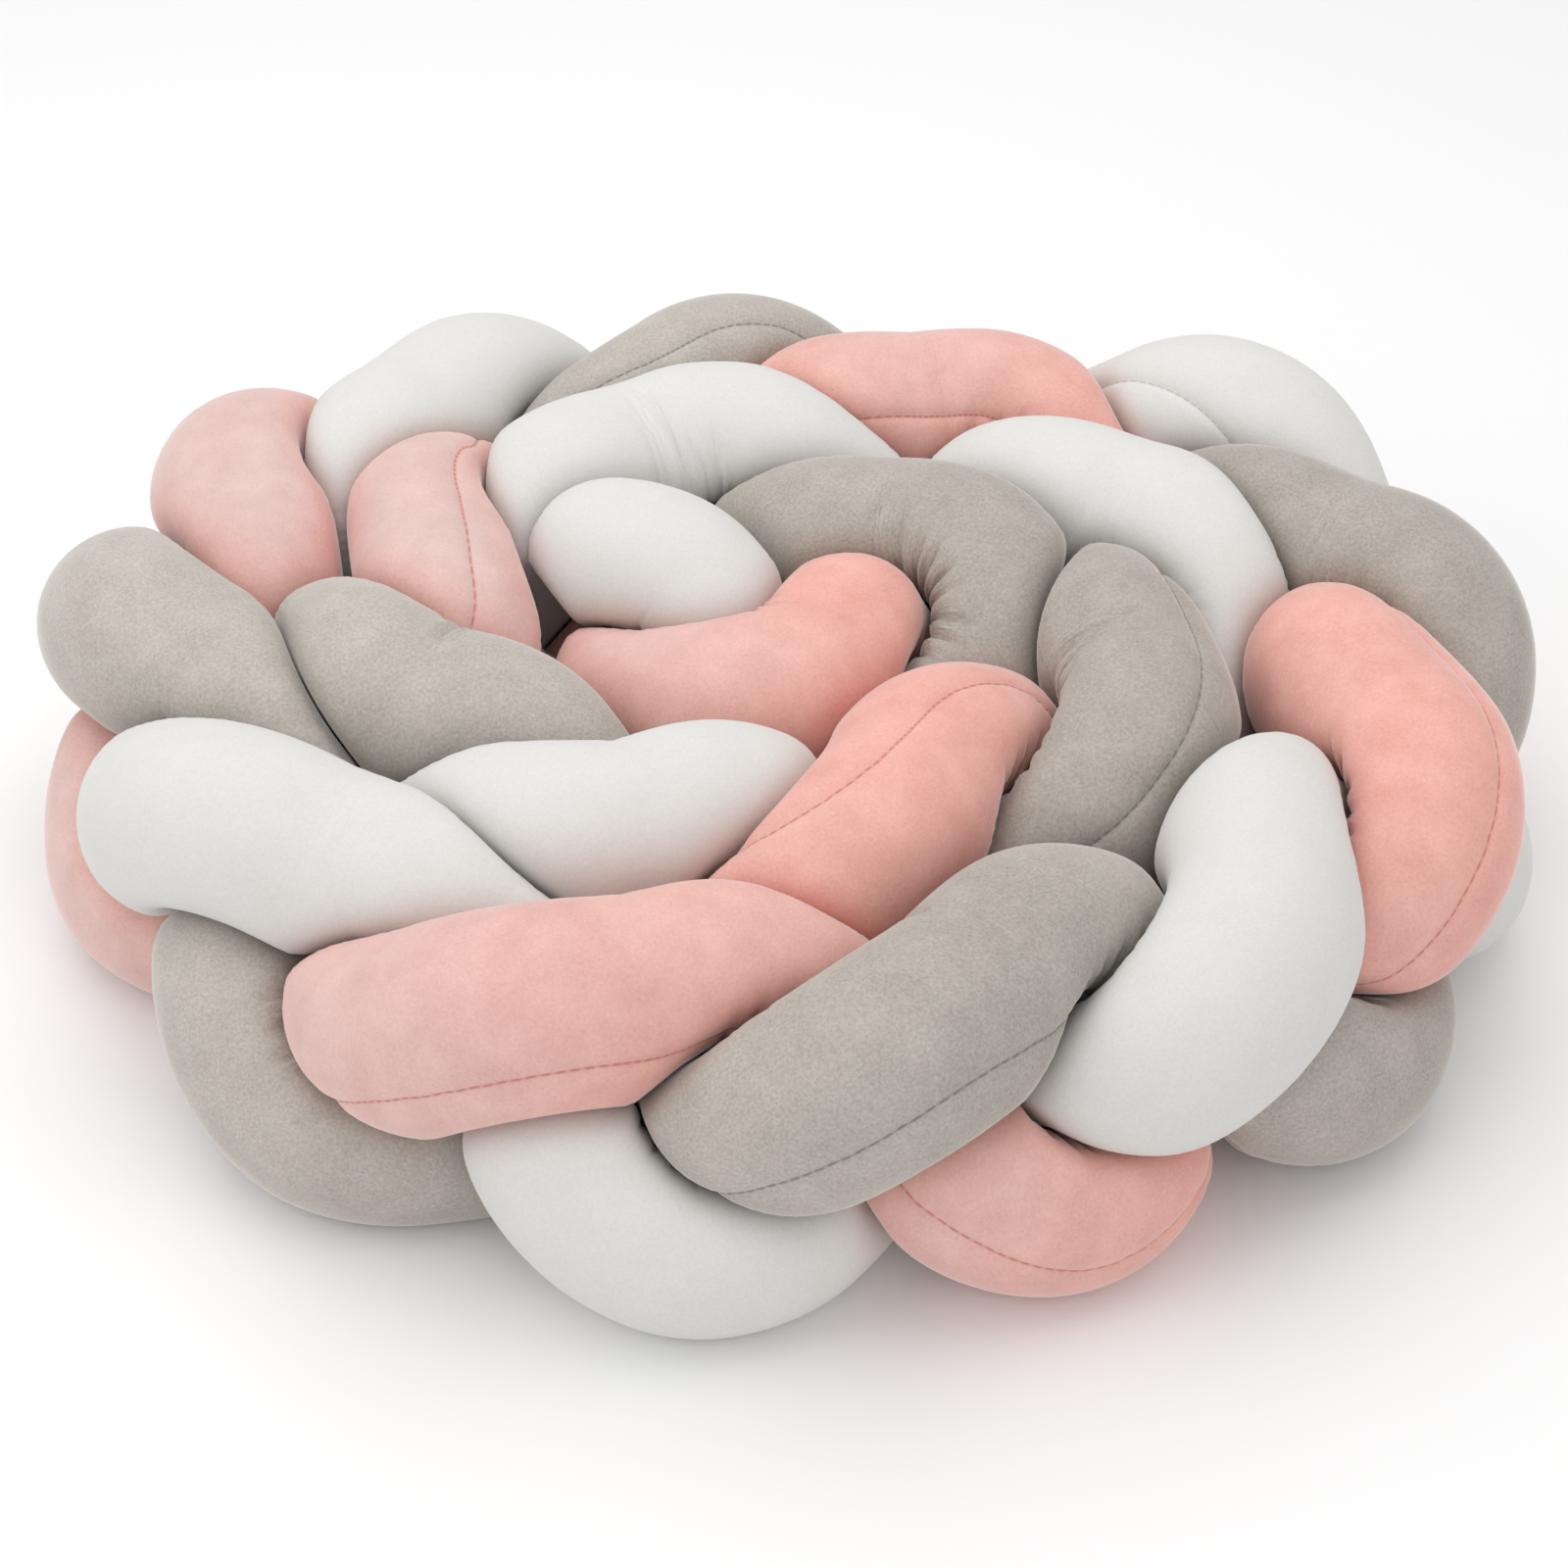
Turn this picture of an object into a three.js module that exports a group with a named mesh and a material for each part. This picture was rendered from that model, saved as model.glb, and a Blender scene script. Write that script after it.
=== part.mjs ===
// Braided crib bumper, laid down as it is sold: three stuffed velour tubes
// plaited together, the plait set on its edge and coiled into a flat oval.
// Millimetres, +Z up, origin under the middle of the coil on the surface it lies on.
//
// The plait is described lobe by lobe. At each row of the table one of the three
// tubes stands on top of the plait; the tubes take turns, white, pink, grey.
// Between its lobes a tube swings in a figure of eight about the plait's middle.
// The soft tubes are then settled against each other and pressed flat where they touch.
import * as THREE from "three";

// Driving dimensions
const tubeDiameter = 70;        // one stuffed tube, round where nothing presses on it
const lobesPerTurn = 3;         // tubes in the plait
const hiddenLobes = 1;          // rows of the table before the first lobe that shows
const pointsPerLobe = 16;       // of an ideal run
const touchDistance = 42;       // two tubes pressed together, middle to middle
const lowestMiddle = 31;        // a tube's middle above the surface where it lies on it
const highestMiddle = 106;
const pressGap = 1;             // daylight kept between two pressed tubes
const swell = 1.08;             // a pressed tube bulges this much at its free side
const cornerPower = 8;          // how tight the edge of a pressed flat is
const sides = 14;               // facets round a tube
const markSpacing = 5.75;       // points on a tube's middle that everything is measured from
const marksPerRing = 4;         // facets along a tube
const roundEnd = 30;            // length of a tube's rounded end
const nudge = 0.01;             // of a lobe, to see which way the plait runs
const pointsPerStep = 4;        // of the smooth run between two settled points

// The plait's middle line and swing, one row for each lobe, from the inside out
// (the first and last rows are its hidden ends). x, y: middle of the plait in plan; mid: its
// height; rise: how far a tube swings up and down; sway: how far it swings across; lean:
// degrees the plait leans out at the top
const columns = ["x", "y", "mid", "rise", "sway", "lean"];
const lobes = [
  [0, 85, 54, 27, 15, 0],
  [-96, 98, 54, 27, 15, 0],
  [24, 18, 54, 27, 26, 0],
  [66, 88, 54, 27, 12, 0],
  [-60, 170, 54, 27, 15, 0],
  [-132, 95, 54, 27, 15, 0],
  [-146, -18, 54, 27, 15, 0],
  [-47, -94, 54, 27, 15, 0],
  [34, -76, 54, 27, 15, 0],
  [138, 2, 54, 27, 10, 0],
  [142, 120, 54, 27, 15, 0],
  [60, 200, 54, 27, 15, 0],
  [-56, 208, 54, 27, 15, 0],
  [-146, 178, 54, 27, 15, 0],
  [-218, 124, 54, 27, 15, 0],
  [-232, 28, 54, 27, 15, 0],
  [-168, -100, 54, 27, 15, -12],
  [-52, -178, 54, 27, 15, -8],
  [62, -175, 54, 22, 9, -2],
  [166, -122, 54, 25, 14, 0],
  [228, -26, 54, 27, 5, 0],
  [227, 84, 54, 27, 13, 0],
  [164, 194, 54, 27, 15, 0],
  [85, 262, 35, 6, 12, 0],
].map((row) => Object.fromEntries(columns.map((name, i) => [name, row[i]])));

// The three tubes: which lobe each one tops first, and the lobes where it begins and ends
const tubes = [
  { name: "tube_white", first: 0, from: -0.8, to: 22.2, colour: 0xf0efec },
  { name: "tube_pink", first: 1, from: -0.8, to: 21.2, colour: 0xf2b9ad },
  { name: "tube_grey", first: 2, from: -0.2, to: 21.4, colour: 0xb2afa6 },
];

// How long the tubes are left to settle, how strongly each point is held to its ideal place,
// how stiff a tube is, and how much of a stretch or an overlap each pass takes away
const settling = {
  rounds: 150,
  pointSpacing: 10,
  hold: 0.03,
  stiffPasses: 4,
  straighten: 0.022,
  evenOut: 0.44,
  keepLength: 0.25,
  push: 0.175,
  passes: 2,
};

// How the skin is found: passes to find a pressed tube's swell, to even it out along the
// tube, and to press the facets in, each by no more than the deepest press
const skinning = { swellPasses: 6, evenPasses: 3, pressPasses: 5, deepestPress: 1 };

const radius = tubeDiameter / 2;
const ownSpan = touchDistance * 1.35;   // a tube's nearer points don't count as touching it
const reachOut = radius * 2.6;          // nothing farther than this presses on a ring
const nearOwn = radius;                 // stretch of its own middle that a facet belongs to

// Smooth run through evenly numbered rows, carried on straight past both ends.
function along(rows, at) {
  const last = rows.length - 1;
  const row = (i) => {
    if (i < 0) return rows[0].clone().lerp(rows[1], i);
    if (i > last) return rows[last].clone().lerp(rows[last - 1], last - i);
    return rows[i];
  };
  const i = Math.floor(at);
  const point = (axis) => [row(i - 1), row(i), row(i + 1), row(i + 2)].map((p) => p[axis]);
  const blend = ([a, b, c, d]) => {
    const t = at - i;
    return b + t * (c - a + t * (2 * a - 5 * b + 4 * c - d + t * (3 * (b - c) + d - a))) / 2;
  };
  return new THREE.Vector3(blend(point("x")), blend(point("y")), blend(point("z")));
}

const middleLine = lobes.map((l) => new THREE.Vector3(l.x, l.y, l.mid));
const swingLine = lobes.map((l) => new THREE.Vector3(l.rise, l.sway, l.lean));

// Evenly spaced points along a run of points.
function evenly(points, spacing) {
  const sum = [0];
  points.forEach((p, i) => { if (i) sum.push(sum[i - 1] + p.distanceTo(points[i - 1])); });
  const count = Math.round(sum.at(-1) / spacing);
  let j = 0;
  return Array.from({ length: count + 1 }, (_, i) => {
    const want = sum.at(-1) * i / count;
    while (j < sum.length - 2 && sum[j + 1] < want) j++;
    return points[j].clone().lerp(points[j + 1], (want - sum[j]) / (sum[j + 1] - sum[j]));
  });
}

// One tube's middle as it would run in an ideal plait.
function idealRun(tube) {
  const steps = Math.round((tube.to - tube.from) * pointsPerLobe);
  return Array.from({ length: steps + 1 }, (_, i) => {
    const lobe = tube.from + i / pointsPerLobe;
    const at = lobe + hiddenLobes;
    const here = along(middleLine, at);
    const swing = along(swingLine, at);
    const ahead = along(middleLine, at + nudge).sub(along(middleLine, at - nudge)).setZ(0).normalize();
    const turn = Math.PI / 2 + (2 * Math.PI / lobesPerTurn) * (lobe - tube.first);
    const up = swing.x * Math.sin(turn);
    const out = swing.y * Math.sin(2 * turn);
    const lean = THREE.MathUtils.degToRad(swing.z);
    const aside = out * Math.cos(lean) + up * Math.sin(lean);
    const above = up * Math.cos(lean) - out * Math.sin(lean);
    return new THREE.Vector3(here.x + ahead.y * aside, here.y - ahead.x * aside, here.z + above);
  });
}

// Half the bend of a run of points: how far each lies from the middle of its neighbours.
function halfBend(run) {
  return run.map((p, i) => (i && i < run.length - 1)
    ? run[i - 1].clone().add(run[i + 1]).multiplyScalar(0.5).sub(p) : new THREE.Vector3());
}

// Lets the tubes push each other apart, keep their length, stay smooth and lie on the surface.
function settle(ideal) {
  const s = settling;
  const runs = ideal.map((points) => evenly(points, s.pointSpacing));
  const homes = runs.map((run) => run.map((p) => p.clone()));
  const links = runs.map((run) => run.slice(1).map((p, i) => p.distanceTo(run[i])));
  const all = runs.flatMap((run, tube) => run.map((p, i) => ({ p, tube, i })));
  const ownPoints = Math.ceil(ownSpan / s.pointSpacing);
  for (let round = 0; round < s.rounds; round++) {
    runs.forEach((run, k) => {
      run.forEach((p, i) => p.lerp(homes[k][i], s.hold));
      for (let pass = 0; pass < s.stiffPasses; pass++) {
        const bend = halfBend(run);
        const change = halfBend(bend);
        run.forEach((p, i) => {
          p.addScaledVector(bend[i], s.straighten).addScaledVector(change[i], -s.evenOut);
        });
      }
      for (let pass = 0; pass < s.passes; pass++) {
        for (let i = 1; i < run.length; i++) {
          const link = run[i].clone().sub(run[i - 1]);
          link.multiplyScalar((1 - links[k][i - 1] / link.length()) * s.keepLength);
          run[i - 1].add(link);
          run[i].sub(link);
        }
      }
    });
    for (let pass = 0; pass < s.passes; pass++) {
      for (let a = 0; a < all.length; a++) {
        for (let b = a + 1; b < all.length; b++) {
          if (all[a].tube === all[b].tube && all[b].i - all[a].i < ownPoints) continue;
          const p = all[a].p;
          const q = all[b].p;
          if (Math.abs(q.x - p.x) > touchDistance) continue;
          const apart = p.distanceTo(q);
          if (apart >= touchDistance) continue;
          const share = (touchDistance - apart) / apart * s.push;
          const shift = q.clone().sub(p).multiplyScalar(share);
          p.sub(shift);
          q.add(shift);
        }
      }
      for (const { p } of all) p.z = Math.min(highestMiddle, Math.max(lowestMiddle, p.z));
    }
  }
  return runs;
}

// Points on the settled run, fine enough to measure from.
function fineRun(run, spacing) {
  const points = [];
  for (let i = 0; i < (run.length - 1) * pointsPerStep; i++) points.push(along(run, i / pointsPerStep));
  points.push(run.at(-1).clone());
  return evenly(points, spacing);
}

// Each ring is round, pressed in wherever another tube, or another turn of its own, is
// nearer than a full radius: the wall stops half way between the two middles.
function skin(run, tube, marks) {
  const near = (i) => run[Math.min(Math.max(i, 0), run.length - 1)];
  const ahead = run.map((_, i) => near(i + 1).clone().sub(near(i - 1)).normalize());
  const side = [ahead[0].clone().cross(new THREE.Vector3(0, 0, 1)).normalize()];
  for (let i = 1; i < run.length; i++) {
    side.push(side[i - 1].clone().addScaledVector(ahead[i], -side[i - 1].dot(ahead[i])).normalize());
  }
  // a ring at every few marks, closer together at the rounded ends
  const last = run.length - 1;
  const picks = [0, 1, 2];
  for (let i = marksPerRing; i < last - 2; i += marksPerRing) picks.push(i);
  picks.push(last - 2, last - 1, last);
  const walls = picks.map((i) => {
    const across = ahead[i].clone().cross(side[i]);
    const pressing = marks.map((q) => q.p.clone().sub(run[i]))
      .filter((d) => d.length() > 0 && d.length() < reachOut);
    return Array.from({ length: sides }, (_, j) => {
      const angle = 2 * Math.PI * j / sides;
      const out = side[i].clone().multiplyScalar(Math.cos(angle)).addScaledVector(across, Math.sin(angle));
      let wall = Infinity;
      for (const d of pressing) {
        const reach = d.dot(out);
        if (reach > 0) wall = Math.min(wall, d.lengthSq() / (2 * reach));
      }
      return { out, wall: wall - pressGap / 2 };
    });
  });
  const pressed = (r, wall) => (r ** -cornerPower + wall ** -cornerPower) ** (-1 / cornerPower);
  let round = walls.map((ring) => {
    let r = radius;
    for (let pass = 0; pass < skinning.swellPasses; pass++) {
      const area = ring.reduce((sum, w) => sum + pressed(r, w.wall) ** 2, 0) / sides;
      r = Math.min(radius * swell, Math.max(radius, r * Math.sqrt(radius ** 2 / area)));
    }
    return r;
  });
  for (let pass = 0; pass < skinning.evenPasses; pass++) {
    const beside = (i) => round[Math.min(Math.max(i, 0), round.length - 1)];
    round = round.map((r, i) => (beside(i - 1) + 2 * r + beside(i + 1)) / 4);
  }
  const rings = walls.map((ring, n) => {
    const fromEnd = Math.min(1, Math.min(picks[n], last - picks[n]) * markSpacing / roundEnd);
    const close = Math.sqrt(1 - (1 - fromEnd) ** 2);
    return ring.map(({ out, wall }) => {
      const p = run[picks[n]].clone().addScaledVector(out, pressed(round[n], wall) * close);
      return p.setZ(Math.max(0, p.z));
    });
  });
  pressFacets(rings, picks.map((i) => run[i]), picks, tube, marks);
  return rings;
}

// A flat facet between two corners can still stand into the tube beside it: its middle is
// tried, and the corners are pressed in until it is nearer its own tube than any other.
function pressFacets(rings, middles, picks, tube, marks) {
  const apart = (q, n) => Math.abs(q.at - picks[n]) * markSpacing;
  const own = picks.map((_, n) => marks.filter((q) => q.tube === tube && apart(q, n) < nearOwn));
  const other = picks.map((_, n) => marks.filter((q) => (q.tube !== tube || apart(q, n) > ownSpan)
    && q.p.distanceTo(middles[n]) < reachOut));
  const nearest = (p, list) => {
    let least = Infinity;
    for (const { p: q } of list) {
      least = Math.min(least, (q.x - p.x) ** 2 + (q.y - p.y) ** 2 + (q.z - p.z) ** 2);
    }
    return Math.sqrt(least);
  };
  for (let pass = 0; pass < skinning.pressPasses; pass++) {
    for (let i = 1; i < rings.length - 2; i++) {
      for (let j = 0; j < sides; j++) {
        const k = (j + 1) % sides;
        for (const [a, b, u, v] of [[i, i, j, k], [i, i + 1, j, j], [i, i + 1, j, k]]) {
          const p = rings[a][u];
          const q = rings[b][v];
          const mid = p.clone().lerp(q, 0.5);
          const over = (nearest(mid, own[i]) + pressGap / 2 - nearest(mid, other[i])) / 2;
          if (over <= 0) continue;
          for (const [corner, n] of [[p, a], [q, b]]) {
            const inward = middles[n].clone().sub(corner);
            if (corner.z === 0) inward.setZ(0);
            corner.addScaledVector(inward.normalize(), Math.min(over, skinning.deepestPress));
          }
        }
      }
    }
  }
}

// Rings joined into one closed body, with a point at each end.
function body(rings, run) {
  const position = [];
  const index = [];
  const inner = rings.slice(1, -1);
  inner.forEach((ring) => ring.forEach((p) => position.push(p.x, p.y, p.z)));
  const start = inner.length * sides;
  const finish = start + 1;
  for (const p of [run[0], run.at(-1)]) position.push(p.x, p.y, Math.max(0, p.z));
  for (let j = 0; j < sides; j++) {
    const k = (j + 1) % sides;
    const top = (inner.length - 1) * sides;
    for (let i = 0; i < inner.length - 1; i++) {
      const a = i * sides + j;
      const b = i * sides + k;
      index.push(a, b, b + sides, a, b + sides, a + sides);
    }
    index.push(start, k, j, finish, top + j, top + k);
  }
  const geometry = new THREE.BufferGeometry();
  geometry.setAttribute("position", new THREE.Float32BufferAttribute(position, 3));
  geometry.setIndex(index);
  geometry.computeVertexNormals();
  return geometry;
}

const group = new THREE.Group();
const runs = settle(tubes.map(idealRun)).map((run) => fineRun(run, markSpacing));
const marks = runs.flatMap((run, tube) => run.map((p, at) => ({ p, tube, at })));
const box = new THREE.Box3();
tubes.forEach((tube, k) => {
  const mesh = new THREE.Mesh(body(skin(runs[k], k, marks), runs[k]),
    new THREE.MeshStandardMaterial({ color: tube.colour, roughness: 0.95, metalness: 0 }));
  mesh.name = tube.name;
  box.expandByObject(mesh);
  group.add(mesh);
});
// origin under the middle of the coil
const middle = box.getCenter(new THREE.Vector3());
group.children.forEach((mesh) => mesh.geometry.translate(-middle.x, -middle.y, -box.min.z));

export default group;
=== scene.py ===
# Braided crib bumper: three stuffed velour tubes plaited loosely, the plait laid down on its
# edge and coiled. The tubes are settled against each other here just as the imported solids
# are, and are then covered with cloth that has its seams, tucks, folds and pile.
import math

import bpy
import numpy as np
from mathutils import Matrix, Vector


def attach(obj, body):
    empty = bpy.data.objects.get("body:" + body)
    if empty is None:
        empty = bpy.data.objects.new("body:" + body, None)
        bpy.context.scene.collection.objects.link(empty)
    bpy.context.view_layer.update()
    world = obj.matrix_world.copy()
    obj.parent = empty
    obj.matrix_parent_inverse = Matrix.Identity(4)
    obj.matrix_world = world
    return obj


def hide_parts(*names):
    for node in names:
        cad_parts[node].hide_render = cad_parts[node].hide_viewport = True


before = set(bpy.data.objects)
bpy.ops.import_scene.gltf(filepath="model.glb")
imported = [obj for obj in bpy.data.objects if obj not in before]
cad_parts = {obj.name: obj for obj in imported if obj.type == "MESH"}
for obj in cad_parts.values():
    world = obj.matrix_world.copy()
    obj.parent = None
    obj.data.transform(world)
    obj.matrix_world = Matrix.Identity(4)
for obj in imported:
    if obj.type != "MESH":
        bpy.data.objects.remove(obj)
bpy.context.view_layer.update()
print("frame loaded")

millimetre = 0.001


# A hex colour as Blender wants it
def toLinear(colour):
    parts = [int(colour[k:k + 2], 16) / 255 for k in (1, 3, 5)]
    return tuple(c / 12.92 if c <= 0.04045 else ((c + 0.055) / 1.055) ** 2.4 for c in parts) + (1,)


# A node with its settings, each input a value or another node's output
def addNode(tree, kind, settings=None, inputs=None):
    node = tree.nodes.new(kind)
    for name, value in (settings or {}).items():
        setattr(node, name, value)
    for name, value in (inputs or {}).items():
        if isinstance(value, bpy.types.NodeSocket):
            tree.links.new(value, node.inputs[name])
        else:
            node.inputs[name].default_value = value
    return node


# At the photograph's angle
cameraSettings = {
    "elevation": 38,                # degrees above the surface
    "distance": 1250,               # mm, from the point it looks at
    "lookAt": (1.1, -24.07, 60),    # mm
    "lens": 74.25,
    "sensor": 36,
}


def placeCamera():
    lookAt = Vector(cameraSettings["lookAt"]) * millimetre
    raised = math.radians(cameraSettings["elevation"])
    back = Vector((0, -math.cos(raised), math.sin(raised)))
    lens = bpy.data.cameras.new("camera")
    lens.lens = cameraSettings["lens"]
    lens.sensor_width = cameraSettings["sensor"]
    camera = bpy.data.objects.new("camera", lens)
    camera.location = lookAt + back * cameraSettings["distance"] * millimetre
    camera.rotation_euler = (-back).to_track_quat("-Z", "Y").to_euler()
    bpy.context.scene.collection.objects.link(camera)
    bpy.context.scene.camera = camera


# Soft, even studio light: a white room, a big box overhead, and weaker ones left and in front.
# Places and sizes in mm, power in watts.
boxLights = [
    {"name": "overhead_box", "at": (-100, 300, 1500), "size": 1800, "power": 13},
    {"name": "left_box", "at": (-1300, -500, 1000), "size": 1100, "power": 4},
    {"name": "front_box", "at": (400, -1600, 900), "size": 1400, "power": 4},
]

roomLight = {"colour": "#ffffff", "strength": 0.65}


def lightRoom():
    for box in boxLights:
        lamp = bpy.data.lights.new(box["name"], "AREA")
        lamp.shape = "SQUARE"
        lamp.size = box["size"] * millimetre
        lamp.energy = box["power"]
        holder = bpy.data.objects.new(box["name"], lamp)
        holder.location = Vector(box["at"]) * millimetre
        holder.rotation_euler = (-holder.location).to_track_quat("-Z", "Y").to_euler()
        bpy.context.scene.collection.objects.link(holder)
    world = bpy.data.worlds.new("room")
    world.use_nodes = True
    background = world.node_tree.nodes["Background"]
    background.inputs["Color"].default_value = toLinear(roomLight["colour"])
    background.inputs["Strength"].default_value = roomLight["strength"]
    bpy.context.scene.world = world
    bpy.context.scene.view_settings.view_transform = "Standard"


# Pale painted floor, so wide that its edge stays out of the picture
floorSettings = {"width": 16000, "colour": "#f6f6f6", "roughness": 0.7}


def layFloor():
    bpy.ops.object.select_all(action="DESELECT")
    bpy.ops.mesh.primitive_plane_add(size=floorSettings["width"] * millimetre, location=(0, 0, 0))
    floor = bpy.context.object
    floor.name = "floor"
    paint = bpy.data.materials.new("pale_floor")
    paint.use_nodes = True
    shader = paint.node_tree.nodes["Principled BSDF"]
    shader.inputs["Base Color"].default_value = toLinear(floorSettings["colour"])
    shader.inputs["Roughness"].default_value = floorSettings["roughness"]
    floor.data.materials.append(paint)


# The plait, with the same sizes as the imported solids, in mm
plait = {
    "tubeDiameter": 70,         # one stuffed tube, round where nothing presses on it
    "tubesInPlait": 3,
    "hiddenLobes": 1,           # rows of the table before the first lobe that shows
    "pointsPerLobe": 16,        # of an ideal run
    "touchDistance": 42,        # two tubes pressed together, middle to middle
    "lowestMiddle": 31,         # a tube's middle where it lies on the surface
    "highestMiddle": 106,
    "roundEnd": 30,             # length of a tube's rounded end
    "shift": (1.0958, -24.0683),    # brings the middle of the coil to the origin
}

radius = plait["tubeDiameter"] / 2

# The plait's middle line and swing, one row for each lobe, from the inside out
# (x, y and height of the middle, swing up, swing across, degrees of lean)
lobes = [
    (0, 85, 54, 27, 15, 0),
    (-96, 98, 54, 27, 15, 0),
    (24, 18, 54, 27, 26, 0),
    (66, 88, 54, 27, 12, 0),
    (-60, 170, 54, 27, 15, 0),
    (-132, 95, 54, 27, 15, 0),
    (-146, -18, 54, 27, 15, 0),
    (-47, -94, 54, 27, 15, 0),
    (34, -76, 54, 27, 15, 0),
    (138, 2, 54, 27, 10, 0),
    (142, 120, 54, 27, 15, 0),
    (60, 200, 54, 27, 15, 0),
    (-56, 208, 54, 27, 15, 0),
    (-146, 178, 54, 27, 15, 0),
    (-218, 124, 54, 27, 15, 0),
    (-232, 28, 54, 27, 15, 0),
    (-168, -100, 54, 27, 15, -12),
    (-52, -178, 54, 27, 15, -8),
    (62, -175, 54, 22, 9, -2),
    (166, -122, 54, 25, 14, 0),
    (228, -26, 54, 27, 5, 0),
    (227, 84, 54, 27, 13, 0),
    (164, 194, 54, 27, 15, 0),
    (85, 262, 35, 6, 12, 0),
]

# Each tube: the lobe it tops first and the lobes where it begins and ends, how readily and how
# deeply its cloth folds, where its seam lies, and the colours of its pile, with a pale pair for
# the painted sheen and shade. The seam's rows are a lobe and degrees from the tube's top
# towards the outside of the coil.
tubes = [
    {
        "name": "white_tube",
        "node": "tube_white",
        "slot": "white_velour",
        "first": 0,
        "from": -0.8,
        "to": 22.2,
        "seed": 11,
        "looseness": 0.9,
        "folds": 0.5,
        "seam": [
            (-0.8, 180),
            (19.5, 180),
            (20.6, 285),
            (20.95, 295),
            (21.15, 320),
            (21.4, 366),
            (22.2, 366),
        ],
        "finish": {
            "dark": "#d6d5d1",
            "light": "#dfdedb",
            "paleDark": "#d6d5d1",
            "paleLight": "#dfdedb",
            "thread": "#bdbcb8",
            "sheenTint": "#ffffff",
            "sheen": 0.25,
            "pileShare": 0.75,
            "bump": 0.3,
        },
    },
    {
        "name": "pink_tube",
        "node": "tube_pink",
        "slot": "pink_velour",
        "first": 1,
        "from": -0.8,
        "to": 21.2,
        "seed": 23,
        "looseness": 1.1,
        "folds": 0.9,
        "seam": [
            (-0.8, -150),
            (2.4, -120),
            (3.1, 70),
            (3.3, 40),
            (3.5, -20),
            (3.7, -24),
            (4.0, -15),
            (6.0, 8),
            (6.4, -12),
            (6.7, 0),
            (7.0, 12),
            (9.5, -58),
            (10.1, -55),
            (13.0, -180),
            (14.8, -200),
            (15.5, -255),
            (15.9, -284),
            (16.2, -276),
            (16.9, -290),
            (17.2, -258),
            (17.35, -256),
            (17.5, -278),
            (18.43, -267),
            (18.6, -293),
            (18.7, -309),
            (18.95, -324),
            (19.1, -330),
            (21.2, -300),
        ],
        "finish": {
            "dark": "#dd9e93",
            "light": "#f1b9ae",
            "paleDark": "#d0b3ad",
            "paleLight": "#e1c7c2",
            "thread": "#c9776b",
            "sheenTint": "#fff0ed",
            "sheen": 1.0,
            "pileShare": 0.5,
            "bump": 0.5,
        },
    },
    {
        "name": "grey_tube",
        "node": "tube_grey",
        "slot": "grey_velour",
        "first": 2,
        "from": -0.2,
        "to": 21.4,
        "seed": 37,
        "looseness": 1.35,
        "folds": 1.0,
        "seam": [
            (-0.2, 180),
            (6.2, 150),
            (7.5, 60),
            (7.77, 37),
            (7.95, 31),
            (8.8, 45),
            (10.6, -16),
            (10.78, -26),
            (11.0, -11),
            (11.3, -8),
            (12.8, -150),
            (15.6, -190),
            (16.6, -272),
            (16.85, -296),
            (18.2, -200),
            (21.4, -180),
        ],
        "finish": {
            "dark": "#9b958d",
            "light": "#bbb5ad",
            "paleDark": "#aca69e",
            "paleLight": "#cbc5bd",
            "thread": "#7d7a73",
            "sheenTint": "#f8f3ee",
            "sheen": 1.0,
            "pileShare": 0.7,
            "bump": 0.6,
        },
    },
]


# Smooth run through evenly numbered rows, carried on straight past both ends
def along(rows, at):
    rows = np.asarray(rows, float)
    at = np.atleast_1d(np.asarray(at, float))
    spare = 3       # rows added at each end
    before = [rows[0] + (rows[1] - rows[0]) * k for k in range(-spare, 0)]
    after = [rows[-1] + (rows[-1] - rows[-2]) * k for k in range(1, spare + 1)]
    rows = np.vstack([before, rows, after])
    i = np.floor(at).astype(int)
    t = (at - i)[:, None]
    a, b, c, d = (rows[i + spare + k] for k in (-1, 0, 1, 2))
    return b + t * (c - a + t * (2 * a - 5 * b + 4 * c - d + t * (3 * (b - c) + d - a))) / 2


# Points or directions read off at places between those that are known
def readOff(at, places, rows):
    return np.column_stack([np.interp(at, places, rows[:, k]) for k in range(3)])


# Evenly spaced points along a run of points
def evenly(points, spacing):
    steps = np.linalg.norm(np.diff(points, axis=0), axis=1)
    total = np.concatenate([[0], np.cumsum(steps)])
    count = round(total[-1] / spacing)
    return readOff(total[-1] * np.arange(count + 1) / count, total, points)


# One tube's middle as it would run in an ideal plait
def idealRun(tube):
    table = np.array(lobes, float)
    steps = round((tube["to"] - tube["from"]) * plait["pointsPerLobe"])
    lobe = tube["from"] + np.arange(steps + 1) / plait["pointsPerLobe"]
    at = lobe + plait["hiddenLobes"]
    nudge = 0.01    # of a lobe, to either side, for the direction
    here = along(table[:, :3], at)
    swing = along(table[:, 3:], at)
    ahead = along(table[:, :3], at + nudge) - along(table[:, :3], at - nudge)
    ahead[:, 2] = 0
    ahead /= np.linalg.norm(ahead, axis=1)[:, None]
    turn = math.pi / 2 + 2 * math.pi / plait["tubesInPlait"] * (lobe - tube["first"])
    up = swing[:, 0] * np.sin(turn)
    out = swing[:, 1] * np.sin(2 * turn)
    lean = np.radians(swing[:, 2])
    aside = out * np.cos(lean) + up * np.sin(lean)
    above = up * np.cos(lean) - out * np.sin(lean)
    return np.column_stack([
        here[:, 0] + ahead[:, 1] * aside,
        here[:, 1] - ahead[:, 0] * aside,
        here[:, 2] + above,
    ])


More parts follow.
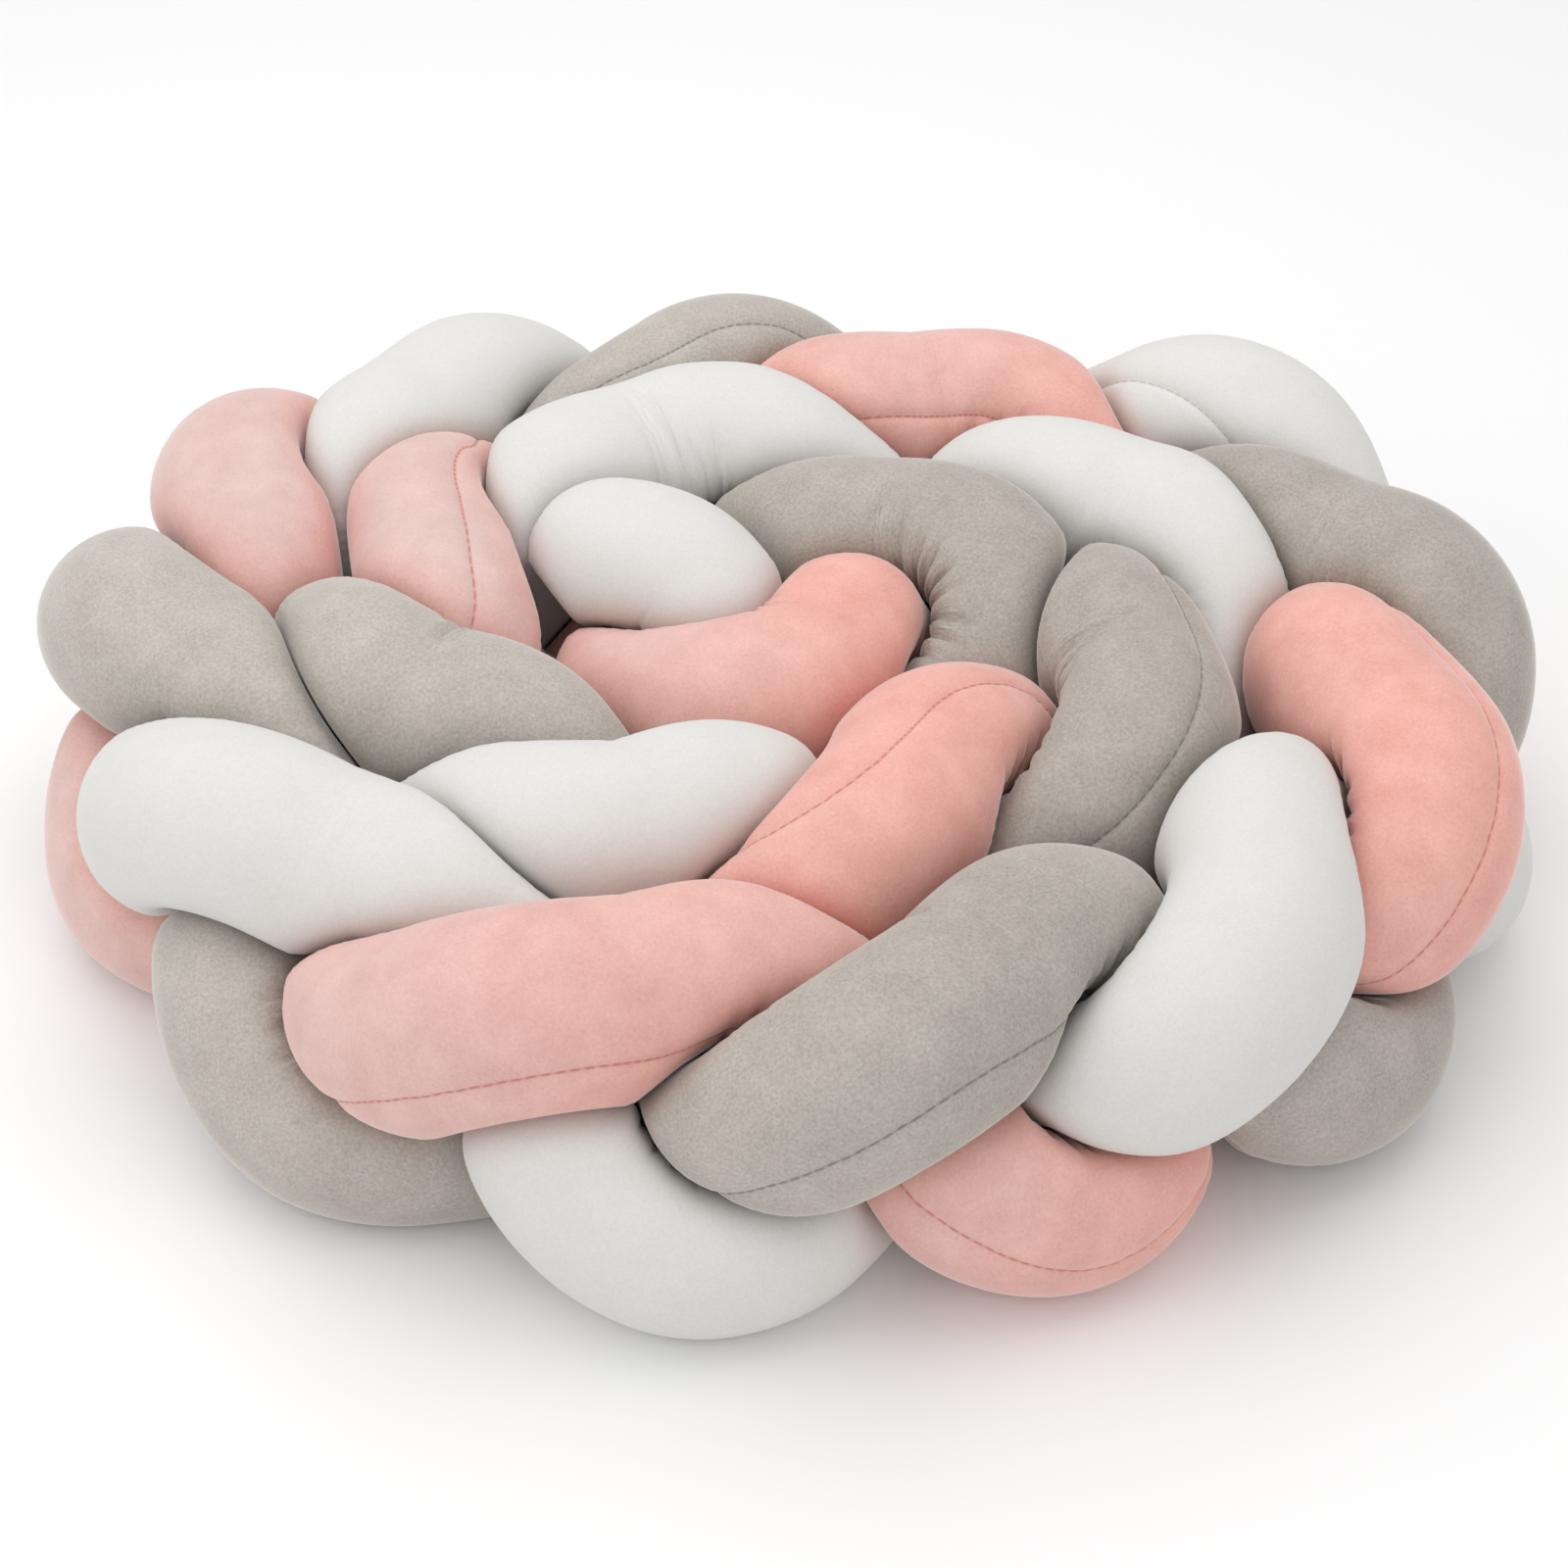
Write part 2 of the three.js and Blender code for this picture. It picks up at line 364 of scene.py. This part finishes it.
# How the tubes settle against each other: shares are taken in each round
settling = {
    "rounds": 150,
    "pointSpacing": 10,         # mm
    "hold": 0.03,               # of the way back to the ideal run
    "stiffPasses": 4,
    "straighten": 0.022,        # of the bend
    "evenOut": 0.44,            # of how much the bend changes
    "lengthPasses": 2,
    "keepLength": 0.25,         # of the stretch
    "pushPasses": 2,
    "push": 0.175,              # of the depth that two tubes are into each other
    "ownSpan": 56.7,            # mm, a tube's nearer points don't count as touching it
    "closing": 12,              # mm, more than two points can close in one round
    "finePoints": 4,            # of the smooth run, for each settled point
}


# Half the bend of a run of points: how far each lies from the middle of its neighbours
def halfBend(run):
    bend = np.zeros_like(run)
    bend[1:-1] = (run[:-2] + run[2:]) / 2 - run[1:-1]
    return bend


# Takes away part of each stretch, from the first point to the last
def keepLengths(run, links):
    points = run.tolist()
    for _ in range(settling["lengthPasses"]):
        for i in range(1, len(points)):
            p = points[i - 1]
            q = points[i]
            dx = q[0] - p[0]
            dy = q[1] - p[1]
            dz = q[2] - p[2]
            length = math.sqrt(dx * dx + dy * dy + dz * dz)
            part = (1 - links[i - 1] / length) * settling["keepLength"]
            p[0] += dx * part
            p[1] += dy * part
            p[2] += dz * part
            q[0] -= dx * part
            q[1] -= dy * part
            q[2] -= dz * part
    return np.array(points)


# Pushes tubes apart where their middles are nearer than two pressed tubes can be
def pushApart(spots, pairs):
    touch = plait["touchDistance"]
    points = spots.tolist()
    for a, b in pairs:
        p = points[a]
        q = points[b]
        dx = q[0] - p[0]
        dy = q[1] - p[1]
        dz = q[2] - p[2]
        apart = math.sqrt(dx * dx + dy * dy + dz * dz)
        if apart >= touch:
            continue
        part = (touch - apart) / apart * settling["push"]
        p[0] -= dx * part
        p[1] -= dy * part
        p[2] -= dz * part
        q[0] += dx * part
        q[1] += dy * part
        q[2] += dz * part
    return np.array(points)


# Lets the tubes push each other apart, keep their length, stay smooth and lie on the surface
def settle(ideal):
    runs = [evenly(points, settling["pointSpacing"]) for points in ideal]
    homes = [run.copy() for run in runs]
    links = [np.linalg.norm(np.diff(run, axis=0), axis=1).tolist() for run in runs]
    cuts = np.cumsum([len(run) for run in runs])[:-1]
    tube = np.concatenate([np.full(len(run), k) for k, run in enumerate(runs)])
    index = np.concatenate([np.arange(len(run)) for run in runs])
    ownPoints = math.ceil(settling["ownSpan"] / settling["pointSpacing"])
    first, second = np.triu_indices(len(tube), 1)
    apart = (tube[first] != tube[second]) | (index[second] - index[first] >= ownPoints)
    first = first[apart]
    second = second[apart]
    nearEnough = plait["touchDistance"] + settling["closing"]
    for _ in range(settling["rounds"]):
        for k, run in enumerate(runs):
            run = run + (homes[k] - run) * settling["hold"]
            for _ in range(settling["stiffPasses"]):
                bend = halfBend(run)
                run = run + bend * settling["straighten"] - halfBend(bend) * settling["evenOut"]
            runs[k] = keepLengths(run, links[k])
        spots = np.concatenate(runs)
        gap = spots[first] - spots[second]
        near = np.einsum("ij,ij->i", gap, gap) < nearEnough ** 2
        pairs = list(zip(first[near].tolist(), second[near].tolist()))
        for _ in range(settling["pushPasses"]):
            spots = pushApart(spots, pairs)
            spots[:, 2] = np.clip(spots[:, 2], plait["lowestMiddle"], plait["highestMiddle"])
        runs = np.split(spots, cuts)
    return runs


# Points on the settled run, fine enough to measure from
def fineRun(run, spacing):
    fine = settling["finePoints"]
    at = np.arange((len(run) - 1) * fine) / fine
    return evenly(np.vstack([along(run, at), run[-1:]]), spacing)


# The net of points that makes the cloth, in mm
net = {
    "ringSpacing": 2.4,         # along the tube, on average
    "bendDensity": 2.2,         # how much closer the rings lie in the sharpest bends
    "bendReach": 14,            # a bend is felt this far along the tube
    "endDensity": 6,            # how much closer they lie where the tube is drawn closed
    "columns": 70,              # points round the tube
    "seamDensity": 0.6,         # how much closer together they lie at the seam
}


# Values smoothed over this many neighbours to either side
def smoothed(values, reach):
    window = np.hanning(2 * reach + 3)[1:-1]
    return np.convolve(np.pad(values, reach, mode="edge"), window / window.sum(), mode="valid")


# Where the rings of one tube lie, which way they face and how sharply the tube bends there
def layRings(run):
    order = np.arange(len(run))
    step = np.linalg.norm(np.diff(run, axis=0), axis=1).mean()
    tangent = np.gradient(run, axis=0)
    tangent /= np.linalg.norm(tangent, axis=1)[:, None]
    bend = np.gradient(tangent, axis=0) / step
    reach = round(net["bendReach"] / step)
    bend = np.column_stack([smoothed(bend[:, k], reach) for k in range(3)])
    toEnd = np.minimum(order, order[::-1]) * step
    density = 1 + net["bendDensity"] * np.clip(np.linalg.norm(bend, axis=1) * radius, 0, 1)
    density += net["endDensity"] * np.exp(-toEnd / drawnEnds["reach"])
    total = np.concatenate([[0], np.cumsum((density[1:] + density[:-1]) / 2)])
    count = round((len(run) - 1) * step / net["ringSpacing"])
    at = np.interp(np.linspace(0, total[-1], count + 1), total, order)
    ahead = readOff(at, order, tangent)
    ahead /= np.linalg.norm(ahead, axis=1)[:, None]
    top = np.array([0, 0, 1]) - ahead * ahead[:, 2:]
    top /= np.linalg.norm(top, axis=1)[:, None]
    return {
        "at": at * step,
        "middles": readOff(at, order, run),
        "ahead": ahead,
        "top": top,
        "outer": np.cross(ahead, top),
        "bend": readOff(at, order, bend),
    }


# Angle of each column from the seam: the columns crowd together there
def columnAngles():
    turn = np.arange(net["columns"]) / net["columns"]
    return 2 * math.pi * turn - net["seamDensity"] * np.sin(2 * math.pi * turn)


# How the tubes flatten each other, in mm where it is a length
pressing = {
    "markSpacing": 3,           # points on the middle lines that it is measured from
    "ownMarks": 12,             # the nearest of them are the tube's own and press on nothing
    "reachOut": 91,             # nothing farther than this presses on a ring
    "noWall": 1000,             # stands for nothing in the way
    "leastReach": 1e-6,         # keeps what lies behind the cloth from counting as a wall
    "gap": 1,                   # daylight kept between two pressed tubes
    "thinnest": 1,              # no wall comes nearer to a tube's middle than this
    "cornerPower": 8,           # how tight the edge of a pressed flat is
    "swell": 1.08,              # a pressed tube bulges this much at its free side
    "swellPasses": 6,
}


# How far out the cloth may go in each direction before it meets another tube, or itself
def wallsRound(rings, out, marks):
    walls = np.empty(out.shape[:2])
    for i, middle in enumerate(rings["middles"]):
        gap = marks - middle
        square = np.einsum("ij,ij->i", gap, gap)
        near = (square > pressing["ownMarks"] ** 2) & (square < pressing["reachOut"] ** 2)
        reach = np.maximum(out[i] @ gap[near].T, pressing["leastReach"])
        walls[i] = (square[near] / (2 * reach)).min(axis=1, initial=pressing["noWall"])
    return walls - pressing["gap"] / 2


# A tube of this radius, flattened where a wall is nearer
def pressed(r, walls):
    power = pressing["cornerPower"]
    return (r ** -power + np.maximum(walls, pressing["thinnest"]) ** -power) ** (-1 / power)


# A pressed tube keeps its girth, so it swells a little at its free side
def swollen(walls, base):
    share = (np.roll(base, -1) - np.roll(base, 1)) % (2 * math.pi) / (4 * math.pi)
    r = np.full(len(walls), radius)
    for _ in range(pressing["swellPasses"]):
        area = (pressed(r[:, None], walls) ** 2 * share).sum(axis=1)
        r = np.clip(r * np.sqrt(radius ** 2 / area), radius, radius * pressing["swell"])
    return smoothed(r, round(net["bendReach"] / net["ringSpacing"]))


# Whole numbers that stir the noise; the prime keeps its keys from growing
stirring = {
    "prime": 2147483647,
    "seed": 7919,
    "start": 17,
    "axis": 31,
    "cell": 374761393,
    "nextAxis": 668265263,
    "firstTurn": 48271,
    "secondTurn": 16807,
    "lift": 12345,
}


# Smooth seeded noise over any number of axes, from -1 to 1
def noise(points, size, seed):
    points = np.asarray(points) / size
    cell = np.floor(points).astype(np.int64)
    part = points - cell
    part = part * part * part * (part * (part * 6 - 15) + 10)
    total = np.zeros(points.shape[:-1])
    prime = stirring["prime"]
    for corner in np.ndindex(*(2,) * points.shape[-1]):
        weight = np.ones_like(total)
        key = np.full(total.shape, seed * stirring["seed"] + stirring["start"], np.int64)
        for k, step in enumerate(corner):
            weight = weight * (part[..., k] if step else 1 - part[..., k])
            turn = stirring["cell"] + stirring["nextAxis"] * k
            key = (key * stirring["axis"] + (cell[..., k] + step) * turn) % prime
        key = key * stirring["firstTurn"] % prime
        key = (key * stirring["secondTurn"] + stirring["lift"]) % prime
        total += weight * (key / prime * 2 - 1)
    return total


# The same noise from 0 to 1: strong in patches
def patches(points, size, seed):
    return 0.5 + 0.5 * noise(points, size, seed)


# Rises smoothly from 0 to 1 between two values
def ramp(value, low, high):
    part = np.clip((value - low) / (high - low), 0, 1)
    return part * part * (3 - 2 * part)


# One narrow crease at every whole number, 1 deep: the smaller its edge, the narrower it is
def creases(phase, edge):
    return 1 - np.abs(np.sin(math.pi * phase)) ** edge


# Filling that has settled unevenly, in mm
filling = {"height": 0.9, "size": 60, "smallHeight": 0.3, "smallSize": 20}


def lumpHeights(barrel, seed):
    broad = filling["height"] * noise(barrel, filling["size"], seed)
    return broad + filling["smallHeight"] * noise(barrel, filling["smallSize"], seed + 1)


# Folds on the inside of a bend and fine gathers between them, in mm where it is a length
folding = {
    "from": 0.1,                # share of its length that the cloth loses before it folds
    "full": 0.4,
    "spacing": 13,
    "depth": 6.2,
    "edge": 0.6,
    "usual": 0.6,               # share of the depth that a fold has on average
    "differs": 0.4,
    "stray": 0.5,               # of the spacing, how far folds wander
    "drift": 26,                # over this length
    "gatherSpacing": 5.2,
    "gatherDepth": 1.1,
    "gatherEdge": 0.8,
    "gatherStray": 0.8,
    "gatherDrift": 16,
    "gatherPatch": 22,
}


# How deep the cloth lies in its folds, some of which are deep and some hardly there
def foldDepths(tube, barrel, squeezed):
    at = barrel[..., 0]
    seed = tube["seed"]
    stray = folding["stray"] * noise(barrel, folding["drift"], seed + 2)
    phase = at / folding["spacing"] + stray
    own = noise(np.stack([np.floor(phase), 0 * phase], axis=-1) + 0.5, 1, seed + 3)
    depth = folding["depth"] * (folding["usual"] + folding["differs"] * own)
    folds = depth * creases(phase, folding["edge"])
    stray = folding["gatherStray"] * noise(barrel, folding["gatherDrift"], seed + 6)
    gathers = creases(at / folding["gatherSpacing"] + stray, folding["gatherEdge"])
    gathers *= folding["gatherDepth"] * patches(barrel, folding["gatherPatch"], seed + 8)
    return tube["folds"] * squeezed * (folds + gathers)


# The lengthwise seam and the tucks that run off it, in mm where it is a length
seaming = {
    "ease": 40,                 # the seam turns round the tube no faster than this
    "depth": 1.3,
    "width": 1.8,
    "edge": 1.2,
    "dip": 1.0,                 # a shallow, wider dip that leaves the cloth puffed up beside it
    "dipWidth": 8,
    "tuckSpacing": 8,
    "tuckReach": 7,
    "tuckDepth": 0.7,
    "tuckEdge": 0.8,
    "tuckStray": 0.5,
    "tuckDrift": 20,
    "tuckPatch": 26,
}


# The angle of a tube's seam at each ring
def seamAngles(tube, rings):
    table = np.array(tube["seam"], float)
    at = rings["at"] / rings["at"][-1] * (tube["to"] - tube["from"]) + tube["from"]
    angle = np.radians(np.interp(at, table[:, 0], table[:, 1]))
    return smoothed(angle, round(seaming["ease"] / net["ringSpacing"]))


# How far round the tube each column lies from the seam, in mm, to one side or the other
def offSeam(base):
    return ((base + math.pi) % (2 * math.pi) - math.pi) * radius


def seamDepths(barrel, base, seed):
    off = np.abs(offSeam(base))
    stray = seaming["tuckStray"] * noise(barrel, seaming["tuckDrift"], seed + 4)
    tucks = creases(barrel[..., 0] / seaming["tuckSpacing"] + stray, seaming["tuckEdge"])
    tucks *= np.exp(-off / seaming["tuckReach"]) * patches(barrel, seaming["tuckPatch"], seed + 5)
    line = seaming["depth"] * np.exp(-(off / seaming["width"]) ** seaming["edge"])
    dip = seaming["dip"] * np.exp(-(off / seaming["dipWidth"]) ** 2)
    return line + dip + seaming["tuckDepth"] * tucks


# The ends, drawn together in small pleats
drawnEnds = {
    "pleats": 15,
    "depth": 1.6,               # mm
    "reach": 9,                 # mm, from the end
}


def pleatDepths(toEnd, base):
    pleats = creases(base * drawnEnds["pleats"] / (2 * math.pi), 1)
    return drawnEnds["depth"] * np.exp(-toEnd / drawnEnds["reach"])[:, None] * pleats


# Painted sheen and painted shade: the pile's colour is painted paler where the tube runs towards
# the front of the coil, standing in for its sheen, paler or deeper in random patches, and painted
# deeper beside a tube that presses on it, standing in for the shade there
paintedSheenAndShade = {
    "paleTowards": (0.1, -0.995, 0),
    "usual": 0.42,
    "turned": 0.52,             # how much the tube's direction counts
    "stray": 0.12,
    "patch": 45,                # mm
    "beside": 0.6,              # how much deeper the painted shade makes it beside another tube
    "besideFrom": 0.35,         # the tube's radius, as a share of the way to the wall
}


# Share of the pale colours at each point: painted sheen by the tube's direction, random patches, and
# less of it as painted shade near other tubes
def paintSheenAndShade(rings, barrel, walls, seed):
    towards = rings["ahead"] @ np.array(paintedSheenAndShade["paleTowards"])
    pale = np.clip(paintedSheenAndShade["usual"] + paintedSheenAndShade["turned"] * towards, 0, 1)[:, None]
    pale = pale + paintedSheenAndShade["stray"] * noise(barrel, paintedSheenAndShade["patch"], seed + 7)
    nearness = radius / np.maximum(walls, pressing["thinnest"])
    pale *= 1 - paintedSheenAndShade["beside"] * ramp(nearness, paintedSheenAndShade["besideFrom"], 1)
    return np.clip(pale, 0, 1)


# The finished surface of one tube: rings of points, and what its pile needs to know of them
def drapeTube(tube, run, marks):
    rings = layRings(run)
    base = columnAngles()
    angle = seamAngles(tube, rings)[:, None] + base
    top = rings["top"][:, None, :]
    outer = rings["outer"][:, None, :]
    out = top * np.cos(angle)[..., None] + outer * np.sin(angle)[..., None]
    walls = wallsRound(rings, out, marks)
    at = rings["at"][:, None]
    plain = np.broadcast_arrays(at, np.cos(base) * radius, np.sin(base) * radius)
    barrel = np.stack(plain, axis=-1)   # the cloth as if its tube were straight
    shortening = np.einsum("ik,ijk->ij", rings["bend"], out) * radius * tube["looseness"]
    squeezed = ramp(shortening, folding["from"], folding["full"])
    toEnd = np.minimum(rings["at"], rings["at"][-1] - rings["at"])

    r = swollen(walls, base)[:, None] + lumpHeights(barrel, tube["seed"])
    r = pressed(r, walls)
    r -= foldDepths(tube, barrel, squeezed)
    r -= seamDepths(barrel, base, tube["seed"])
    r -= pleatDepths(toEnd, base)
    r *= np.sqrt(1 - (1 - np.clip(toEnd / plait["roundEnd"], 0, 1)) ** 2)[:, None]
    points = rings["middles"][:, None, :] + out * r[..., None]
    points[..., 2] = np.maximum(points[..., 2], 0)
    # the paler layer holds painted sheen and painted shade, besides random paler and deeper patches
    layers = {"squeezed": squeezed, "paler": paintSheenAndShade(rings, barrel, walls, tube["seed"])}
    return rings, points, base, layers


# One closed mesh from the rings, with a point at each end. Its UV map is in metres of cloth:
# along the tube, and round it from the seam.
def sewTube(tube, rings, points, base, layers):
    count = len(points) - 2
    columns = net["columns"]
    ends = np.array([rings["middles"][0], rings["middles"][-1]])
    ends[:, 2] = np.maximum(ends[:, 2], 0)
    shift = np.array([*plait["shift"], 0])
    places = (np.vstack([points[1:-1].reshape(-1, 3), ends]) + shift) * millimetre
    row, column = np.meshgrid(np.arange(count - 1), np.arange(columns), indexing="ij")
    a = row * columns + column
    b = row * columns + (column + 1) % columns
    faces = np.stack([a, b, b + columns, a + columns], axis=-1).reshape(-1, 4).tolist()
    start = count * columns
    last = start - columns
    for j in range(columns):
        k = (j + 1) % columns
        faces.append([start, k, j])
        faces.append([start + 1, last + j, last + k])
    mesh = bpy.data.meshes.new(tube["name"])
    mesh.from_pydata(places.tolist(), [], faces)
    mesh.polygons.foreach_set("use_smooth", [True] * len(mesh.polygons))
    for name, values in layers.items():
        layer = mesh.attributes.new(name, "FLOAT", "POINT")
        layer.data.foreach_set("value", np.concatenate([values[1:-1].ravel(), [0, 0]]))

    at = rings["at"][1:-1]
    off = offSeam(base)
    nextOff = off + (np.roll(base, -1) - base) % (2 * math.pi) * radius
    corners = np.empty((count - 1, columns, 4, 2))
    corners[..., :2, 0] = at[:-1, None, None]
    corners[..., 2:, 0] = at[1:, None, None]
    corners[..., (0, 3), 1] = off[:, None]
    corners[..., (1, 2), 1] = nextOff[:, None]
    endCorners = np.zeros((2 * columns * 3, 2))
    cloth = mesh.uv_layers.new(name="cloth")
    spots = np.vstack([corners.reshape(-1, 2), endCorners]) * millimetre
    cloth.data.foreach_set("uv", spots.ravel())
    mesh.update()
    piece = bpy.data.objects.new(tube["name"], mesh)
    bpy.context.scene.collection.objects.link(piece)
    return piece


# The pile and the stitching of all three tubes, in mm where it is a length
velourSettings = {
    "pileSize": 1.2,            # drawn coarser than the real pile, so that it shows
    "pileHeight": 0.5,
    "pileRise": 0.5,            # share of the height that the grain of the pile takes
    "brushedSize": 18,          # patches where the pile was stroked another way
    "grainDetail": 2,
    "grainRoughness": 0.6,
    "grainFrom": 0.3,           # the grain's values hardly leave this span
    "grainTo": 0.7,
    "ribSpacing": 1.6,          # fine lines across the tube where it is squeezed
    "ribLength": 9,             # times their spacing
    "ribDetail": 1,
    "ribStrength": 2,
    "ribRest": 0.12,            # what is left of them on smooth cloth
    "stitch": 3,
    "threadWidth": 0.75,        # to either side of the seam
    "threadCore": 0.25,         # share of it that is fully dark
    "threadShare": 0.75,        # how much of the thread's colour shows
    "holeFrom": 0.15,           # of a stitch, from the middle of its hole
    "holeTo": 0.5,
    "betweenHoles": 0.35,       # how strong the line stays there
    "roughness": 0.95,
    "ior": 1.45,
    "specular": 0.1,
    "sheenRoughness": 0.3,
}


# Short-pile polyester velour, knitted and brushed: matt, with a soft grain, a paler bloom
# where the pile is seen side on, colours painted paler as sheen and deeper as shade by the
# paler layer, and fine lines across the tube where it is squeezed
def velour(name, finish):
    settings = velourSettings
    material = bpy.data.materials.new(name)
    material.use_nodes = True
    tree = material.node_tree
    tree.nodes.clear()
    place = addNode(tree, "ShaderNodeTexCoord").outputs["Object"]
    cloth = addNode(tree, "ShaderNodeUVMap", {"uv_map": "cloth"}).outputs["UV"]
    squeezed = addNode(tree, "ShaderNodeAttribute", {"attribute_name": "squeezed"}).outputs["Fac"]
    # the paler layer: painted sheen by the tube's direction and painted shade beside other tubes
    paler = addNode(tree, "ShaderNodeAttribute", {"attribute_name": "paler"}).outputs["Fac"]

    # the grain of the pile, its brushed patches, and lines that run round the tube
    pile = addNode(tree, "ShaderNodeTexNoise", {}, {
        "Vector": place,
        "Scale": 1 / (settings["pileSize"] * millimetre),
        "Detail": settings["grainDetail"],
        "Roughness": settings["grainRoughness"],
    }).outputs["Fac"]
    brushed = addNode(tree, "ShaderNodeTexNoise", {}, {
        "Vector": place,
        "Scale": 1 / (settings["brushedSize"] * millimetre),
        "Detail": settings["grainDetail"],
        "Roughness": settings["grainRoughness"],
    }).outputs["Fac"]
    stretched = addNode(tree, "ShaderNodeMapping", {"vector_type": "POINT"}, {
        "Vector": cloth,
        "Scale": (1, 1 / settings["ribLength"], 1),
    }).outputs[0]
    ribs = addNode(tree, "ShaderNodeTexNoise", {}, {
        "Vector": stretched,
        "Scale": 1 / (settings["ribSpacing"] * millimetre),
        "Detail": settings["ribDetail"],
        "Roughness": settings["grainRoughness"],
    }).outputs["Fac"]

    # the stitched line: dark at every needle hole, a little deeper in colour between them
    parts = addNode(tree, "ShaderNodeSeparateXYZ", {}, {"Vector": cloth})
    off = addNode(tree, "ShaderNodeMath", {"operation": "ABSOLUTE"}, {0: parts.outputs["Y"]})
    line = addNode(tree, "ShaderNodeMapRange", {"interpolation_type": "SMOOTHSTEP"}, {
        "Value": off.outputs[0],
        "From Min": settings["threadWidth"] * settings["threadCore"] * millimetre,
        "From Max": settings["threadWidth"] * millimetre,
        "To Min": 1,
        "To Max": 0,
    })
    stitches = addNode(tree, "ShaderNodeMath", {"operation": "DIVIDE"}, {
        0: parts.outputs["X"],
        1: settings["stitch"] * millimetre,
    })
    step = addNode(tree, "ShaderNodeMath", {"operation": "FRACT"}, {0: stitches.outputs[0]})
    centred = addNode(tree, "ShaderNodeMath", {"operation": "SUBTRACT"}, {0: step.outputs[0], 1: 0.5})
    fromHole = addNode(tree, "ShaderNodeMath", {"operation": "ABSOLUTE"}, {0: centred.outputs[0]})
    hole = addNode(tree, "ShaderNodeMapRange", {"interpolation_type": "SMOOTHSTEP"}, {
        "Value": fromHole.outputs[0],
        "From Min": settings["holeFrom"],
        "From Max": settings["holeTo"],
        "To Min": 1,
        "To Max": settings["betweenHoles"],
    })
    thread = addNode(tree, "ShaderNodeMath", {"operation": "MULTIPLY"}, {
        0: line.outputs[0],
        1: hole.outputs[0],
    }).outputs[0]

    # from the darker to the lighter colour, and from the deep pair to the pale one by the paler
    # layer: towards the pale pair is painted sheen, towards the deep pair beside other tubes is
    # painted shade
    # (of a colour mix, socket 0 is the share, 6 and 7 are the colours and 2 comes out)
    tone = addNode(tree, "ShaderNodeMix", {"data_type": "FLOAT"}, {
        0: finish["pileShare"],
        2: brushed,
        3: pile,
    })
    grain = addNode(tree, "ShaderNodeMapRange", {}, {
        "Value": tone.outputs[0],
        "From Min": settings["grainFrom"],
        "From Max": settings["grainTo"],
    })
    ribStrength = addNode(tree, "ShaderNodeMath", {"operation": "MULTIPLY"}, {
        0: squeezed,
        1: settings["ribStrength"],
    }).outputs[0]
    ribTone = addNode(tree, "ShaderNodeMath", {"operation": "SUBTRACT"}, {0: ribs, 1: 0.5})
    lightness = addNode(tree, "ShaderNodeMath", {"operation": "MULTIPLY_ADD"}, {
        0: ribTone.outputs[0],
        1: ribStrength,
        2: grain.outputs[0],
    })
    darker = addNode(tree, "ShaderNodeMix", {"data_type": "RGBA"}, {
        0: paler,
        6: toLinear(finish["dark"]),
        7: toLinear(finish["paleDark"]),
    })
    lighter = addNode(tree, "ShaderNodeMix", {"data_type": "RGBA"}, {
        0: paler,
        6: toLinear(finish["light"]),
        7: toLinear(finish["paleLight"]),
    })
    dyed = addNode(tree, "ShaderNodeMix", {"data_type": "RGBA"}, {
        0: lightness.outputs[0],
        6: darker.outputs[2],
        7: lighter.outputs[2],
    })
    threadShare = addNode(tree, "ShaderNodeMath", {"operation": "MULTIPLY"}, {
        0: thread,
        1: settings["threadShare"],
    })
    stitched = addNode(tree, "ShaderNodeMix", {"data_type": "RGBA"}, {
        0: threadShare.outputs[0],
        6: dyed.outputs[2],
        7: toLinear(finish["thread"]),
    })

    # the same grain, lines and stitches as heights
    ribRise = addNode(tree, "ShaderNodeMath", {"operation": "ADD"}, {
        0: ribStrength,
        1: settings["ribRest"],
    })
    pileRise = addNode(tree, "ShaderNodeMath", {"operation": "MULTIPLY"}, {
        0: pile,
        1: settings["pileRise"],
    })
    raised = addNode(tree, "ShaderNodeMath", {"operation": "MULTIPLY_ADD"}, {
        0: ribs,
        1: ribRise.outputs[0],
        2: pileRise.outputs[0],
    })
    height = addNode(tree, "ShaderNodeMath", {"operation": "SUBTRACT"}, {
        0: raised.outputs[0],
        1: thread,
    })
    bump = addNode(tree, "ShaderNodeBump", {}, {
        "Strength": finish["bump"],
        "Distance": settings["pileHeight"] * millimetre,
        "Height": height.outputs[0],
    })
    shader = addNode(tree, "ShaderNodeBsdfPrincipled", {}, {
        "Base Color": stitched.outputs[2],
        "Normal": bump.outputs[0],
        "Roughness": settings["roughness"],
        "IOR": settings["ior"],
        "Specular IOR Level": settings["specular"],
        "Sheen Weight": finish["sheen"],
        "Sheen Roughness": settings["sheenRoughness"],
        "Sheen Tint": toLinear(finish["sheenTint"]),
    })
    addNode(tree, "ShaderNodeOutputMaterial", {}, {"Surface": shader.outputs[0]})
    return material


placeCamera()
lightRoom()
layFloor()
print("camera, light and floor placed")

settled = settle([idealRun(tube) for tube in tubes])
print("tubes settled")
runs = [fineRun(run, pressing["markSpacing"]) for run in settled]
marks = np.vstack(runs)
for tube, run in zip(tubes, runs):
    rings, points, base, layers = drapeTube(tube, run, marks)
    piece = sewTube(tube, rings, points, base, layers)
    piece.data.materials.append(velour(tube["slot"], tube["finish"]))
    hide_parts(tube["node"])
    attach(piece, "root")
    print(tube["name"], "covered:", len(piece.data.polygons), "faces")
